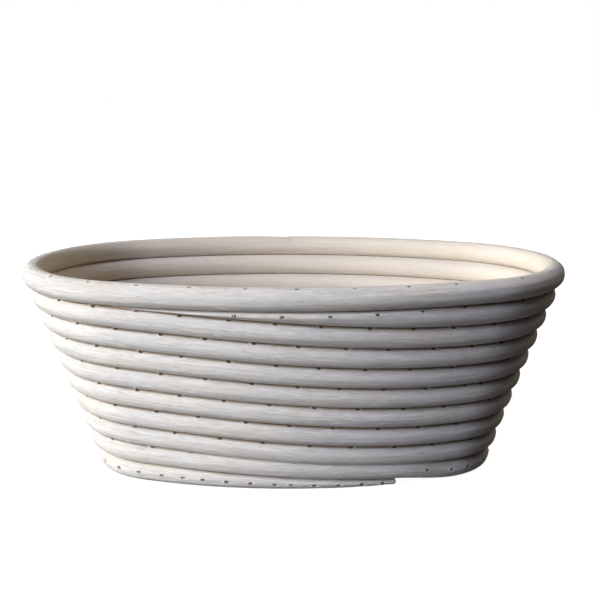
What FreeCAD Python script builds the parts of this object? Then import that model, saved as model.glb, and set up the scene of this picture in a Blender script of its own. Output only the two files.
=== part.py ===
import FreeCAD, Part
import math
import os

from FreeCAD import Vector

# An oval proofing basket of round rattan cane.
#
# The origin is on the surface that the basket rests on, under the middle of its outside box.
# X runs along the basket, the front is towards -Y, and Z points up.
#
# A rim ring lies on a coiled wall. Each turn of the coil is level round the right end, the back
# and the left end, and steps down by one course as it crosses the front from left to right.
# Levels are counted from the rim, which is level 0. Levels 1 to 9 are the wall's courses, and the
# levels after them are the turns of the flat base, inside the lowest course.

DOCUMENT = FreeCAD.newDocument("banneton_basket")

DIMENSIONS = (
    ("rim_length", 250.0, "outside length over the rim"),
    ("rim_width", 156.4, "outside width over the rim"),
    ("side_radius", 216.0, "radius of the rim's long sides, at the middle of the cane"),
    ("widest_shift", -4.0, "how far the widest place lies from the middle, along X"),
    ("cane_diameter", 10.2, "diameter of the cane"),
    ("cane_gap", 0.1, "clearance between canes that lie on each other"),
    ("wall_courses", 9, "courses under the rim"),
    ("base_turns", 2, "turns of the base spiral"),
    ("lean_top", 21.3, "lean of the wall under the rim, in degrees"),
    ("lean_bottom", 18.2, "lean of the wall at the lowest course, in degrees"),
    ("base_flat", 0.3, "depth of the flat sanded on the underside"),
    ("ramp_left", -103.0, "where a course leaves its level on the front"),
    ("ramp_right", 87.0, "where it reaches the next level"),
    ("wedge_tip", -72.0, "tip of the wall cane's shaved upper end"),
    ("base_tip", -68.0, "tip of the base cane's shaved outer end"),
    ("wall_end", 54.5, "cut end of the lowest course, under the course that steps down onto it"),
    ("base_end", 37.0, "cut end of the base cane's inner end"),
    ("held_share", 0.69, "share of the lowest step that is made where the wall cane ends"),
    ("held_slope", 0.005, "steepness of the lowest step there, in shares per mm"),
    ("splice_place", -8.5, "butt of the two wall canes"),
    ("scarf_length", 15.0, "length of the rim's slanting joint"),
    ("scarf_gap", 0.15, "saw cut left in the rim's slanting joint"),
    ("scarf_place", 2.0, "middle of the rim's slanting joint, on the back"),
    ("pin_diameter", 1.3, "diameter of a wire pin"),
    ("pin_head_diameter", 2.0, "diameter of a pin's head"),
    ("pin_head_height", 0.5, "height of a pin's head"),
    ("short_pin_length", 9.0, "length of a pin that stays in one cane"),
    ("long_pin_length", 15.0, "length of a pin that holds a cane to the next one"),
    ("course_pin_angle", 70.0, "how far a course's pins lie above its outermost line, in degrees"),
    ("course_pin_spacing", 19.0, "spacing of the pins along a course"),
    ("rim_pin_spacing", 22.0, "spacing of the pins along the rim"),
    ("base_pin_spacing", 10.0, "spacing of the pins along the lowest course"),
)

sizes = DOCUMENT.addObject("Spreadsheet::Sheet", "sizes")
for row, (alias, number, meaning) in enumerate(DIMENSIONS, 1):
    sizes.set(f"A{row}", meaning)
    sizes.set(f"B{row}", str(number))
    sizes.setAlias(f"B{row}", alias)
DOCUMENT.recompute()


def size(alias):
    return float(sizes.get(alias))


def add_size(alias, number, meaning):
    """One more cell, for a size that follows from the others."""
    row = int(sizes.getUsedRange()[1][1:]) + 1
    sizes.set(f"A{row}", meaning)
    sizes.set(f"B{row}", str(number))
    sizes.setAlias(f"B{row}", alias)
    DOCUMENT.recompute()
    return number


def add_object(kind, label, bindings=(), placement=None):
    """A document object whose sizes are bound to cells of the sheet."""
    thing = DOCUMENT.addObject(kind, label)
    for name, expression in bindings:
        thing.setExpression(name, expression)
    if placement is not None:
        thing.Placement = placement
    return thing


CANE_RADIUS = size("cane_diameter") / 2
PITCH = size("cane_diameter") + size("cane_gap")
COURSES = int(size("wall_courses"))
TURNS = int(size("base_turns"))
LOWEST = COURSES
LAST_LEVEL = COURSES + TURNS
UP = Vector(0, 0, 1)


# ---------------------------------------------------------------- the oval plan

HALF_LENGTH = size("rim_length") / 2 - CANE_RADIUS
HALF_WIDTH = size("rim_width") / 2 - CANE_RADIUS
SIDE_RADIUS = size("side_radius")
SIDE_X = size("widest_shift")
SIDE_Y = SIDE_RADIUS - HALF_WIDTH


def end_radius(reach):
    """The end arc that reaches this far from the widest place and meets both sides smoothly."""
    return (SIDE_RADIUS**2 - SIDE_Y**2 - reach**2) / (2 * (SIDE_RADIUS - reach))


LEFT_RADIUS = add_size(
    "left_radius", end_radius(HALF_LENGTH + SIDE_X), "radius of the rim's left end"
)
RIGHT_RADIUS = add_size(
    "right_radius", end_radius(HALF_LENGTH - SIDE_X), "radius of the rim's right end"
)
LEFT_X = LEFT_RADIUS - HALF_LENGTH
RIGHT_X = HALF_LENGTH - RIGHT_RADIUS
LEFT_JOINT = math.pi - math.atan2(SIDE_Y, SIDE_X - LEFT_X)
RIGHT_JOINT = math.atan2(SIDE_Y, RIGHT_X - SIDE_X)
TURN = 2 * math.pi

# Each stretch of the oval, anticlockwise from the front: the outward direction's first and last
# angle, then the arc's centre and its radius on the rim.
STRETCHES = (
    (-LEFT_JOINT, -RIGHT_JOINT, Vector(SIDE_X, SIDE_Y, 0), SIDE_RADIUS),
    (-RIGHT_JOINT, RIGHT_JOINT, Vector(RIGHT_X, 0, 0), RIGHT_RADIUS),
    (RIGHT_JOINT, LEFT_JOINT, Vector(SIDE_X, -SIDE_Y, 0), SIDE_RADIUS),
    (LEFT_JOINT, TURN - LEFT_JOINT, Vector(LEFT_X, 0, 0), LEFT_RADIUS),
    (TURN - LEFT_JOINT, TURN - RIGHT_JOINT, Vector(SIDE_X, SIDE_Y, 0), SIDE_RADIUS),
)


def outward(angle):
    return Vector(math.cos(angle), math.sin(angle), 0)


def oval_point(angle, inset, height):
    """The point of a level oval whose outward direction has this angle."""
    while angle < -LEFT_JOINT:
        angle += TURN
    while angle > TURN - RIGHT_JOINT:
        angle -= TURN
    for first, last, centre, radius in STRETCHES:
        if angle <= last:
            return centre + outward(angle) * (radius - inset) + UP * height
    raise ValueError("angle outside the oval")


def front_angle(x):
    """The outward angle, from -180 degrees to 0, of the rim's front at this X.

    A place on the front of any level is named by the X of the rim's place abreast of it.
    """
    if x < SIDE_X + SIDE_RADIUS * math.cos(LEFT_JOINT):
        return -math.acos((x - LEFT_X) / LEFT_RADIUS)
    if x > SIDE_X + SIDE_RADIUS * math.cos(RIGHT_JOINT):
        return -math.acos((x - RIGHT_X) / RIGHT_RADIUS)
    return -math.acos((x - SIDE_X) / SIDE_RADIUS)


# ---------------------------------------------------------------- the levels


def lean(step):
    """Lean of the wall between level step and the next one, from upright."""
    share = step / (COURSES - 1)
    return math.radians(size("lean_top") + share * (size("lean_bottom") - size("lean_top")))


def step_down(step):
    """How far one step goes inward and down."""
    if step >= LOWEST:
        return PITCH, 0.0
    return PITCH * math.sin(lean(step)), PITCH * math.cos(lean(step))


def all_levels():
    """Inset and height of the cane's middle at every level."""
    insets = [0.0]
    drops = [0.0]
    for step in range(LAST_LEVEL):
        inward, down = step_down(step)
        insets.append(insets[-1] + inward)
        drops.append(drops[-1] + down)
    lowest_height = CANE_RADIUS - size("base_flat")
    return [(inset, lowest_height + drops[-1] - drop) for inset, drop in zip(insets, drops)]


LEVELS = all_levels()


def eased(x, first, last):
    """A smooth curve at x between two knots, each a place, a value and a slope."""
    place, value, slope = first
    last_place, last_value, last_slope = last
    width = last_place - place
    run = (x - place) / width
    rise = (last_value - value) * run * run * (3 - 2 * run)
    bend_in = slope * width * run * (1 - run) ** 2
    bend_out = last_slope * width * run * run * (run - 1)
    return value + rise + bend_in + bend_out


def ramp_share(step, x):
    """How much of the step down from this level has been made at this place, from 0 to 1."""
    start = (size("ramp_left"), 0.0, 0.0)
    stop = (size("ramp_right"), 1.0, 0.0)
    x = min(max(x, start[0]), stop[0])
    if step != LOWEST - 1:
        return eased(x, start, stop)
    # the lowest step is held up by the wall cane's end under it
    held = (size("wall_end"), size("held_share"), size("held_slope"))
    return eased(x, start, held) if x < held[0] else eased(x, held, stop)


def ramp_point(step, x):
    """The middle of the cane that steps down from level step, at this place on the front."""
    share = ramp_share(step, x)
    inset = LEVELS[step][0] + share * (LEVELS[step + 1][0] - LEVELS[step][0])
    height = LEVELS[step][1] + share * (LEVELS[step + 1][1] - LEVELS[step][1])
    return oval_point(front_angle(x), inset, height)


def front_point(level, x):
    inset, height = LEVELS[level]
    return oval_point(front_angle(x), inset, height)


def coil_point(level, angle):
    """The middle of the turn that starts at a level's right end and steps down on the front.

    The angle runs on past 180 degrees, so that it tells the two ends of the turn apart.
    """
    if angle > math.pi:
        return ramp_point(level, oval_point(angle, 0, 0).x)
    inset, height = LEVELS[level]
    return oval_point(angle, inset, height)


# ---------------------------------------------------------------- centre lines


def arc_through(first, middle, last):
    return Part.Arc(first, middle, last).toShape()


def level_edges(level, first_angle, last_angle):
    """Arcs of a level course, anticlockwise between two outward angles."""
    inset, height = LEVELS[level]
    edges = []
    for first, last, centre, radius in STRETCHES:
        start = max(first, first_angle)
        stop = min(last, last_angle)
        if stop - start > 1e-6:
            angles = (start, (start + stop) / 2, stop)
            edges.append(
                arc_through(*[centre + outward(a) * (radius - inset) + UP * height for a in angles])
            )
    return edges


def biarc(first, first_way, last, last_way):
    """Two arcs that meet smoothly and leave and arrive in the given directions."""
    chord = last - first
    ways = first_way + last_way
    square = 2 * (1 - first_way.dot(last_way))
    along = chord.dot(ways)
    reach = chord.dot(chord) / (2 * along)
    if square > 1e-12:
        reach = (math.sqrt(along**2 + square * chord.dot(chord)) - along) / square
    meeting = (first + first_way * reach + last - last_way * reach) * 0.5
    return [bend(first, first_way, meeting), bend(last, last_way * -1, meeting, True)]


def bend(start, way, stop, backward=False):
    """The arc that leaves start along way and arrives at stop."""
    chord = stop - start
    normal = way.cross(chord).cross(way)
    if normal.Length < 1e-7 * chord.Length:
        return Part.makeLine(stop, start) if backward else Part.makeLine(start, stop)
    normal.normalize()
    radius = chord.dot(chord) / (2 * chord.dot(normal))
    centre = start + normal * radius
    middle = (start + stop) * 0.5 - centre
    middle.normalize()
    middle = centre + middle * radius
    return arc_through(stop, middle, start) if backward else arc_through(start, middle, stop)


def smooth_edges(line, first, last, count):
    """Arcs that follow line(x) from first to last, through count + 1 points of it."""
    nudge = 0.01
    edges = []
    stations = [first + (last - first) * index / count for index in range(count + 1)]
    knots = []
    for x in stations:
        way = line(x + nudge) - line(x - nudge)
        way.normalize()
        knots.append((line(x), way))
    for (start, start_way), (stop, stop_way) in zip(knots, knots[1:]):
        edges += biarc(start, start_way, stop, stop_way)
    return edges


def ramp_edges(step, first, last):
    count = max(2, round(abs(last - first) / 24))
    return smooth_edges(lambda x: ramp_point(step, x), first, last, count)


def round_edges(level):
    """A level course from the end of one ramp round the back to the start of the next."""
    first_angle = front_angle(size("ramp_right"))
    last_angle = TURN + front_angle(size("ramp_left"))
    return level_edges(level, first_angle, last_angle)


# ---------------------------------------------------------------- solids


def first_ring(edges):
    """The circle at the start of a centre line."""
    first = edges[0]
    start = first.valueAt(first.FirstParameter)
    return Part.makeCircle(CANE_RADIUS, start, first.tangentAt(first.FirstParameter))


def carried(ring, edges):
    """The cane's skin along a centre line, one face to an edge, and the ring carried to its end."""
    faces = []
    for edge in edges:
        curve = edge.Curve
        if curve.TypeId == "Part::GeomLine":
            move = edge.valueAt(edge.LastParameter) - edge.valueAt(edge.FirstParameter)
            faces.append(ring.extrude(move))
            ring = ring.translated(move)
        else:
            turn = math.degrees(edge.LastParameter - edge.FirstParameter)
            faces.append(ring.revolve(curve.Center, curve.Axis, turn))
            ring = ring.rotated(curve.Center, curve.Axis, turn)
    return faces, ring


def sewn(faces):
    skin = Part.Compound(faces)
    skin.sewShape()
    solid = Part.Solid(skin.Shells[0])
    if solid.Volume < 0:
        solid.reverse()
    return solid


def tube(edges, ring=None):
    """A round solid along centre lines that follow each other smoothly."""
    start = ring or first_ring(edges)
    faces, stop = carried(start, edges)
    ends = [Part.Face(Part.Wire(start)), Part.Face(Part.Wire(stop))]
    return sewn(faces + ends)


def knife(line, step, first, last, reach=1.3, half_width=0.75):
    """The room beside a cane's end that belongs to its neighbour along line(x).

    Its edge lies just outside the neighbour, in the direction of the step.
    """
    inward, down = step_down(step)
    cut_line = (PITCH + size("cane_gap")) / 2
    count = 20
    first_angle = front_angle(first)
    last_angle = front_angle(last)
    outlines = []
    for index in range(count + 1):
        angle = first_angle + (last_angle - first_angle) * index / count
        middle = line(oval_point(angle, 0, 0).x)
        facing = outward(angle)
        across = (facing * -inward - UP * down) / PITCH
        beside = (facing * -down + UP * inward) / PITCH
        edge = middle + across * cut_line
        back = middle + across * (cut_line - reach * PITCH)
        side = beside * (half_width * PITCH)
        corners = (edge - side, edge + side, back + side, back - side, edge - side)
        outlines.append(Part.makePolygon(corners))
    return Part.makeLoft(outlines, True, True)


def flattened(solid):
    """The solid with the flat sanded on its underside."""
    reach = size("rim_length")
    block = Part.makeBox(2 * reach, 2 * reach, CANE_RADIUS, Vector(-reach, -reach, -CANE_RADIUS))
    return single(solid.cut(block))


def with_blunt_end(cane, edges, level, place):
    """The cane along edges, run on level under the step beside it and cut off at place."""
    left = size("ramp_left")
    ring = carried(first_ring(edges), edges)[1]
    last_edges = smooth_edges(lambda x: front_point(level, x), left, place, 4)
    step = level - 1
    neighbour = knife(lambda x: ramp_point(step, x), step, left + 8, place + 4)
    end = single(tube(last_edges, ring).cut(neighbour))
    return flattened(single(cane.fuse(end)))


def single(shape):
    """The one solid in a boolean's result."""
    solids = sorted(shape.Solids, key=lambda solid: -solid.Volume)
    return solids[0]


PARTS = []


def add_part(label, shape):
    """A sub-part whose shape has no primitive or sketch that fits it."""
    part = DOCUMENT.addObject("Part::Feature", label)
    part.Label = label
    part.Shape = shape
    part.Placement = FreeCAD.Placement()
    PARTS.append(part)
    return part


def add_cut(label, base, tool):
    """A sub-part that is one document object cut by another."""
    part = DOCUMENT.addObject("Part::Cut", label)
    part.Label = label
    part.Base = base
    part.Tool = tool
    PARTS.append(part)
    return part


# ---------------------------------------------------------------- canes

# half the width left at the tips of the whittled cane in the middle of the base
TIP_HALF_WIDTH = 1.0
# how far short of their crossing the two bowed canes stop, as an angle
BOW_STOP = 0.01


def add_rim_cane():
    """The rim: four arcs of a ring, opened by the saw cut of its slanting joint on the back."""
    inset, height = LEVELS[0]
    radii = ("side_radius", "right_radius", "side_radius", "left_radius")
    arcs = []
    for index, (first, last, centre, _) in enumerate(STRETCHES[:4]):
        turned = FreeCAD.Rotation(UP, math.degrees(first))
        arc = add_object(
            "Part::Torus",
            f"rim_arc_{index + 1}",
            (("Radius1", f"sizes.{radii[index]} * 1 mm"), ("Radius2", "sizes.cane_diameter / 2 * 1 mm")),
            FreeCAD.Placement(centre + UP * height, turned),
        )
        arc.Angle3 = math.degrees(last - first)
        arcs.append(arc)
    ring = add_object("Part::MultiFuse", "rim_ring")
    ring.Shapes = arcs
    half = size("scarf_length") / 2
    slant = math.atan2(half, 1.2 * CANE_RADIUS)
    back_y = oval_point(math.pi / 2, inset, height).y
    saw_turn = FreeCAD.Rotation(Vector(0, 1, 0), -math.degrees(slant))
    width = 3 * CANE_RADIUS
    saw_middle = Vector(size("scarf_place"), back_y, height)
    saw = add_object(
        "Part::Box",
        "scarf_saw",
        (
            ("Length", f"sizes.scarf_gap * {math.cos(slant):.4f} * 1 mm"),
            ("Width", "sizes.cane_diameter * 1.5 * 1 mm"),
            ("Height", "sizes.scarf_length * 1.5 * 1 mm"),
        ),
    )
    length = 1.5 * size("scarf_length")
    corner = Vector(0, -width / 2, -length / 2)
    saw.Placement = FreeCAD.Placement(saw_middle + saw_turn.multVec(corner), saw_turn)
    add_cut("rim_cane", ring, saw)


def wall_cane_upper():
    """From the wedge under the rim to the butt on the front."""
    tip = size("wedge_tip")
    edges = ramp_edges(0, tip, size("ramp_right"))
    edges += round_edges(1)
    edges += ramp_edges(1, size("ramp_left"), size("ramp_right"))
    edges += round_edges(2)
    edges += ramp_edges(2, size("ramp_left"), size("splice_place") - size("cane_gap") / 2)
    shaved = knife(lambda x: front_point(0, x), 0, tip - 4, size("ramp_right") - 6)
    return single(tube(edges).cut(shaved))


def wall_cane_lower():
    """From the butt down to the blunt end in the lowest course."""
    edges = ramp_edges(2, size("splice_place") + size("cane_gap") / 2, size("ramp_right"))
    for course in range(3, LOWEST):
        edges += round_edges(course)
        edges += ramp_edges(course, size("ramp_left"), size("ramp_right"))
    edges += round_edges(LOWEST)
    return with_blunt_end(tube(edges), edges, LOWEST, size("wall_end"))


def base_cane():
    """Two turns inside the lowest course, shaved at both ends to run out smoothly."""
    tip = size("base_tip")
    edges = ramp_edges(LOWEST, tip, size("ramp_right"))
    for level in range(LOWEST + 1, LAST_LEVEL):
        edges += round_edges(level)
        edges += ramp_edges(level, size("ramp_left"), size("ramp_right"))
    edges += round_edges(LAST_LEVEL)
    outside = knife(lambda x: front_point(LOWEST, x), LOWEST, tip - 4, size("ramp_right") - 6)
    cane = single(tube(edges).cut(outside))
    return with_blunt_end(cane, edges, LAST_LEVEL, size("base_end"))


def base_middle_canes():
    """Two bowed canes that close the middle of the spiral, planed where they meet."""
    inset = LEVELS[LAST_LEVEL][0] + PITCH
    height = LEVELS[LAST_LEVEL][1]
    radius = SIDE_RADIUS - inset
    half_angle = math.acos(SIDE_Y / radius) - BOW_STOP
    reach = size("rim_length")
    solids = []
    for side in (1, -1):
        centre = Vector(SIDE_X, -side * SIDE_Y, height)
        angles = [side * (math.pi / 2 + share * half_angle) for share in (-1, 0, 1)]
        bow = arc_through(*[centre + outward(angle) * radius for angle in angles])
        other_side = Part.makeBox(reach, reach, reach)
        middle_of_box = Vector(0, side * (size("cane_gap") / 2 - reach / 2), 0)
        other_side.translate(middle_of_box - Vector(reach, reach, reach) / 2)
        solids.append(flattened(single(tube([bow]).cut(other_side))))
    return Part.Compound(solids)


def add_base_core_cane():
    """A straight cane between the two bowed ones, whittled to a wedge at both ends."""
    height = LEVELS[LAST_LEVEL][1]
    inner_radius = SIDE_RADIUS - LEVELS[LAST_LEVEL][0] - PITCH - CANE_RADIUS - size("cane_gap")
    wide = math.sqrt(inner_radius**2 - (SIDE_Y + CANE_RADIUS) ** 2)
    narrow = math.sqrt(inner_radius**2 - (SIDE_Y + TIP_HALF_WIDTH) ** 2)
    corners = (
        (-narrow, TIP_HALF_WIDTH),
        (-wide, CANE_RADIUS),
        (wide, CANE_RADIUS),
        (narrow, TIP_HALF_WIDTH),
        (narrow, -TIP_HALF_WIDTH),
        (wide, -CANE_RADIUS),
        (-wide, -CANE_RADIUS),
        (-narrow, -TIP_HALF_WIDTH),
        (-narrow, TIP_HALF_WIDTH),
    )
    outline = Part.makePolygon([Vector(x, y, 0) for x, y in corners])
    plan = DOCUMENT.addObject("Part::Feature", "core_whittled_plan")
    plan.Shape = Part.Face(outline).extrude(UP * 3 * CANE_RADIUS)
    plan.Placement = FreeCAD.Placement(
        Vector(SIDE_X, 0, height - 1.5 * CANE_RADIUS), FreeCAD.Rotation()
    )
    add_size("core_stock_length", 2.4 * narrow, "length of the base's straight cane before whittling")
    stock = add_object(
        "Part::Cylinder",
        "core_stock",
        (("Radius", "sizes.cane_diameter / 2 * 1 mm"), ("Height", "sizes.core_stock_length * 1 mm")),
        FreeCAD.Placement(
            Vector(SIDE_X - 1.2 * narrow, 0, height), FreeCAD.Rotation(Vector(0, 1, 0), 90)
        ),
    )
    whittled = DOCUMENT.addObject("Part::Common", "core_whittled")
    whittled.Base = stock
    whittled.Tool = plan
    sanded = add_object(
        "Part::Box",
        "core_underside",
        (
            ("Length", "sizes.rim_length * 1 mm"),
            ("Width", "sizes.rim_width * 1 mm"),
            ("Height", "sizes.cane_diameter * 1 mm"),
        ),
        FreeCAD.Placement(
            Vector(-size("rim_length") / 2, -size("rim_width") / 2, -size("cane_diameter")),
            FreeCAD.Rotation(),
        ),
    )
    add_cut("base_core_cane", whittled, sanded)


# ---------------------------------------------------------------- pins


def wire_pin(kind):
    """A headed wire pin along +Z, with its head at the origin, short or long."""
    head = add_object(
        "Part::Cylinder",
        f"{kind}_pin_head",
        (("Radius", "sizes.pin_head_diameter / 2 * 1 mm"), ("Height", "sizes.pin_head_height * 1 mm")),
    )
    shank = add_object(
        "Part::Cylinder",
        f"{kind}_pin_shank",
        (
            ("Radius", "sizes.pin_diameter / 2 * 1 mm"),
            ("Height", f"(sizes.{kind}_pin_length - sizes.pin_diameter) * 1 mm"),
        ),
    )
    point = add_object(
        "Part::Cone",
        f"{kind}_pin_point",
        (("Radius1", "sizes.pin_diameter / 2 * 1 mm"), ("Height", "sizes.pin_diameter * 1 mm")),
        FreeCAD.Placement(
            Vector(0, 0, size(f"{kind}_pin_length") - size("pin_diameter")), FreeCAD.Rotation()
        ),
    )
    point.Radius2 = 0
    whole = DOCUMENT.addObject("Part::MultiFuse", f"{kind}_pin")
    whole.Shapes = [head, shank, point]
    DOCUMENT.recompute()
    return single(whole.Shape)


LONG_PIN = wire_pin("long")
SHORT_PIN = wire_pin("short")


def driven(pin, head, way):
    """The pin with its head here, driven this way."""
    placed = pin.copy()
    placed.Placement = FreeCAD.Placement(head, FreeCAD.Rotation(UP, way))
    return placed


def spaced_angles(line, first, last, spacing, phase):
    """Angles between first and last at which line(angle) has run on by one more spacing."""
    count = 720
    angles = []
    due = spacing * phase
    run = 0.0
    before = line(first)
    for index in range(1, count + 1):
        angle = first + (last - first) * index / count
        here = line(angle)
        run += (here - before).Length
        before = here
        if run >= due:
            angles.append(angle)
            due += spacing
    return angles


RIGHT_FRONT = front_angle(size("ramp_right"))
FULL_TURN = RIGHT_FRONT + TURN

# a course's pins aim this far past the joint under it, and this far inside it
JOINT_OFFSET = 0.5
# in the wedge, pins this close to the cane's middle are short
SHORT_PIN_RISE = 1.0
# how far the middle of a pin's head lies under the wedge's upper edge
WEDGE_PIN_DEPTH = 0.3
# where the first pin comes on each turn of the base, in spacings
TURN_PIN_PHASE = 0.7
# the wedge's first pin, the last pins of the course above the lowest and of the lowest, along X
WEDGE_FIRST_PIN = -26
LAST_COURSE_STOP = -30
BASE_EDGE_STOP = -8
# places of the pins near the lowest course's blunt end, along X
BLUNT_END_PINS = (0, 12, 24, 36, 47)
LAST_EDGE_PINS = (69.5, 73, 83)


def section_ways(step, angle):
    """Outward across the wall, and down along it, at this step and angle."""
    inward, down = step_down(step)
    along = (outward(angle) * -inward - UP * down) / PITCH
    across = (outward(angle) * down - UP * inward) / PITCH
    return across, along


def course_pins(level, first, last, phase):
    """Pins from the upper outer side of a turn through its joint with the turn under it."""
    full_rise = CANE_RADIUS * math.sin(math.radians(size("course_pin_angle")))
    spacing = size("course_pin_spacing")
    pins = []
    for angle in spaced_angles(lambda a: coil_point(level, a), first, last, spacing, phase):
        across, along = section_ways(level, angle)
        rise = full_rise
        if level == 0:
            # the wedge is shaved from above, so its pins lie at its upper edge
            share = ramp_share(0, oval_point(angle, 0, 0).x)
            rise = min(rise, PITCH * share - CANE_RADIUS - WEDGE_PIN_DEPTH)
        head = across * math.sqrt(CANE_RADIUS**2 - rise**2) - along * rise
        joint = along * (CANE_RADIUS + JOINT_OFFSET) - across * JOINT_OFFSET
        pin = LONG_PIN if rise > SHORT_PIN_RISE else SHORT_PIN
        pins.append(driven(pin, coil_point(level, angle) + head, joint - head))
    return Part.Compound(pins)


def rim_pins():
    """Pins from the top of the rim down along the wall, into the cane under it."""
    inset, height = LEVELS[0]
    spacing = size("rim_pin_spacing")
    places = spaced_angles(
        lambda a: oval_point(a, inset, height), RIGHT_FRONT, FULL_TURN, spacing, 0.5
    )
    pins = []
    for angle in places:
        along = section_ways(0, angle)[1]
        head = oval_point(angle, inset, height) - along * CANE_RADIUS
        pins.append(driven(LONG_PIN, head, along))
    return Part.Compound(pins)


def level_pin(pin, level, angle, share=0.0):
    """A level pin through a turn that its upper neighbour has thinned to this share less."""
    inset, height = LEVELS[level]
    rise = (1 - share) * PITCH / 2 - CANE_RADIUS
    side = outward(angle) * math.sqrt(CANE_RADIUS**2 - rise**2)
    head = oval_point(angle, inset, height) + side + UP * rise
    return driven(pin, head, outward(angle) * -1)


def turn_pins(level, last):
    """Pins through the side of a turn of the base, into the next turn in."""
    inset, height = LEVELS[level]
    spacing = size("course_pin_spacing")
    angles = spaced_angles(
        lambda a: oval_point(a, inset, height), RIGHT_FRONT, last, spacing, TURN_PIN_PHASE
    )
    return [level_pin(LONG_PIN, level, angle) for angle in angles]


def base_edge_pins(ramp_start, last):
    """Close pins through the side of the lowest course, into the base."""
    inset, height = LEVELS[LOWEST]
    spacing = size("base_pin_spacing")
    angles = spaced_angles(lambda a: oval_point(a, inset, height), RIGHT_FRONT, last, spacing, 0.5)
    pins = []
    for angle in angles:
        share = ramp_share(LOWEST - 1, oval_point(angle, 0, 0).x) if angle > ramp_start else 0.0
        pins.append(level_pin(LONG_PIN, LOWEST, angle, share))
    # past the blunt end, where the course above has come down
    for x in LAST_EDGE_PINS:
        way = outward(front_angle(x))
        pins.append(driven(LONG_PIN, ramp_point(LOWEST - 1, x) + way * CANE_RADIUS, way * -1))
    return Part.Compound(pins)


def blunt_end_pins():
    """Pins through the thinned end of the lowest course."""
    pins = []
    for x in BLUNT_END_PINS:
        share = ramp_share(LOWEST - 1, x)
        pins.append(level_pin(SHORT_PIN, LOWEST, front_angle(x), share))
    return Part.Compound(pins)


def scarf_pins():
    """Two pins down through the overlapping ends of the rim."""
    inset, height = LEVELS[0]
    offset = size("scarf_length") / 4
    pins = []
    for x in (size("scarf_place") - offset, size("scarf_place") + offset):
        angle = -front_angle(x)
        top = oval_point(angle, inset, height) + UP * CANE_RADIUS
        pins.append(driven(SHORT_PIN, top, UP * -1))
    return Part.Compound(pins)


# ---------------------------------------------------------------- the assembly

add_rim_cane()
add_part("wall_cane_upper", wall_cane_upper())
add_part("wall_cane_lower", wall_cane_lower())
add_part("base_cane", base_cane())
add_part("base_middle_canes", base_middle_canes())
add_base_core_cane()

add_part("rim_pins", rim_pins())
add_part("scarf_pins", scarf_pins())
wedge_first = front_angle(WEDGE_FIRST_PIN) + TURN
add_part("wedge_pins", course_pins(0, wedge_first, FULL_TURN, 0.2))
for course in range(1, LOWEST):
    phase = (0.3 + 0.37 * course) % 1
    # the pins of the course above the lowest one stop where the cane under them thins
    last = FULL_TURN if course < LOWEST - 1 else front_angle(LAST_COURSE_STOP) + TURN
    add_part(f"wall_pins_course_{course}", course_pins(course, RIGHT_FRONT, last, phase))
ramp_start = front_angle(size("ramp_left")) + TURN
edge_last = front_angle(BASE_EDGE_STOP) + TURN
add_part("base_edge_pins", base_edge_pins(ramp_start, edge_last))
add_part("blunt_end_pins", blunt_end_pins())
inner_pins = []
for level in range(LOWEST + 1, LAST_LEVEL + 1):
    inner_pins += turn_pins(level, ramp_start)
add_part("base_turn_pins", Part.Compound(inner_pins))

DOCUMENT.recompute()
for thing in DOCUMENT.Objects:
    if "Invalid" in thing.State or "Error" in thing.State:
        raise RuntimeError(f"{thing.Label} did not compute")

os.makedirs("parts", exist_ok=True)
for part in PARTS:
    if part.Shape.isNull() or not part.Shape.isValid():
        raise RuntimeError(f"{part.Label} has no valid shape")
for part in PARTS:
    part.Shape.exportStep(f"parts/{part.Label}.step")
    print(part.Label, len(part.Shape.Solids), "solids", round(part.Shape.Volume), "mm3")
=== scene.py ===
import math
import random

import bpy
import numpy as np
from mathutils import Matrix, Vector


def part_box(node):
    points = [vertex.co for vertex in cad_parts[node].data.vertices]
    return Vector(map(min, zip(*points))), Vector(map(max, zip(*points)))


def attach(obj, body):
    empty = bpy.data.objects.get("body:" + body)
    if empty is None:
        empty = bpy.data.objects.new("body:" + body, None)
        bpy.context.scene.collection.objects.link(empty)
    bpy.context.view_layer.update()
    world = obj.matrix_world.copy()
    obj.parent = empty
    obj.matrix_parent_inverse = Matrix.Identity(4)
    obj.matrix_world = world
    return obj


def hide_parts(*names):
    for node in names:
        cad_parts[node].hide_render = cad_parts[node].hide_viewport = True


# An oval proofing basket of rattan cane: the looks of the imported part.
#
# Every cane is a swept mesh on the centre line of its CAD solid. The wedge's tip runs on past it as
# a sliver, and the two wall canes meet where CAD leaves a small gap. A cane gets uneven thickness,
# faint flats, cut ends, sunken nail holes and loose fibres. Lengths are in metres.

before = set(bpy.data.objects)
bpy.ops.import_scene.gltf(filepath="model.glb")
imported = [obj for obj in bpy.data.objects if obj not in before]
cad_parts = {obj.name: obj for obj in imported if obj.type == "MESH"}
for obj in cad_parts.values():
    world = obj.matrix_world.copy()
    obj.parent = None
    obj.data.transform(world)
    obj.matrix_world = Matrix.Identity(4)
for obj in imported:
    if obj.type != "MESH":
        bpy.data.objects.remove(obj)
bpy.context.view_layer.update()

MM = 0.001
TURN = 2 * math.pi

# ---------------------------------------------------------------- sizes

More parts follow.
